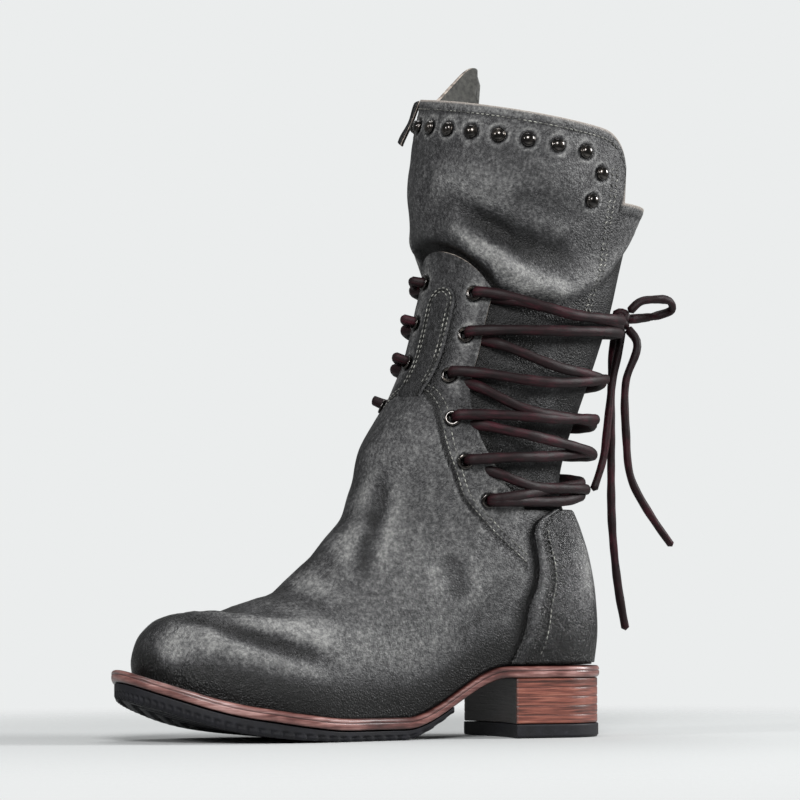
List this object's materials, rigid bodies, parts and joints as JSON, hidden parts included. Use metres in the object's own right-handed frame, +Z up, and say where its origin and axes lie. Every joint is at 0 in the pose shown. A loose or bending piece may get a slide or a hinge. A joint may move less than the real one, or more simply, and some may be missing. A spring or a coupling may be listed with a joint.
{
  "type": "back-laced mid-calf boot",
  "caption": "Left mid-calf leather boot with stacked heel, front panel laced round the back of a soft shaft with a leather thong, and a studded notched collar.",
  "frame": {"origin": "on the floor under the middle of the heel, on the top lift's flat bottom", "axes": "+X to the toe, +Y to the outer (left) side, +Z up"},
  "size_m": [0.3183, 0.1114, 0.3585],
  "materials": {
    "grey_leather": "distressed grey-black leather, satin, rubbed lighter at edges",
    "shaft_leather": "softer grey leather, satin to matt",
    "welt_leather": "reddish-brown edge-dressed sole leather",
    "stack_leather": "stacked sole leather with visible layers, waxed",
    "insole_leather": "plain matt insole leather",
    "sole_rubber": "matt black moulded rubber",
    "dark_nickel": "antique dark nickel plate",
    "lace_thong": "dark burgundy-brown leather thong, slight sheen"
  },
  "bodies": {
    "root": {"outsole": "sole_rubber", "heel_top_lift": "sole_rubber", "midsole": "welt_leather", "heel_stack": "stack_leather", "insole": "insole_leather", "upper": "grey_leather", "counter": "grey_leather", "front_stay": "grey_leather", "shaft": "shaft_leather", "collar_tab": "grey_leather", "eyelet_outer_1": "dark_nickel", "eyelet_outer_2": "dark_nickel", "eyelet_outer_3": "dark_nickel", "eyelet_outer_4": "dark_nickel", "eyelet_outer_5": "dark_nickel", "eyelet_outer_6": "dark_nickel", "eyelet_inner_1": "dark_nickel", "eyelet_inner_2": "dark_nickel", "eyelet_inner_3": "dark_nickel", "eyelet_inner_4": "dark_nickel", "eyelet_inner_5": "dark_nickel", "eyelet_inner_6": "dark_nickel", "stud_01": "dark_nickel", "stud_02": "dark_nickel", "stud_03": "dark_nickel", "stud_04": "dark_nickel", "stud_05": "dark_nickel", "stud_06": "dark_nickel", "stud_07": "dark_nickel", "stud_08": "dark_nickel", "stud_09": "dark_nickel", "stud_10": "dark_nickel", "stud_11": "dark_nickel", "stud_12": "dark_nickel", "stud_13": "dark_nickel", "stud_14": "dark_nickel", "stud_15": "dark_nickel", "stud_16": "dark_nickel", "lace_crossings": "lace_thong", "lace_knot": "lace_thong", "lace_loop": "lace_thong", "lace_end_a": "lace_thong", "lace_end_b": "lace_thong"}
  },
  "joints": []
}
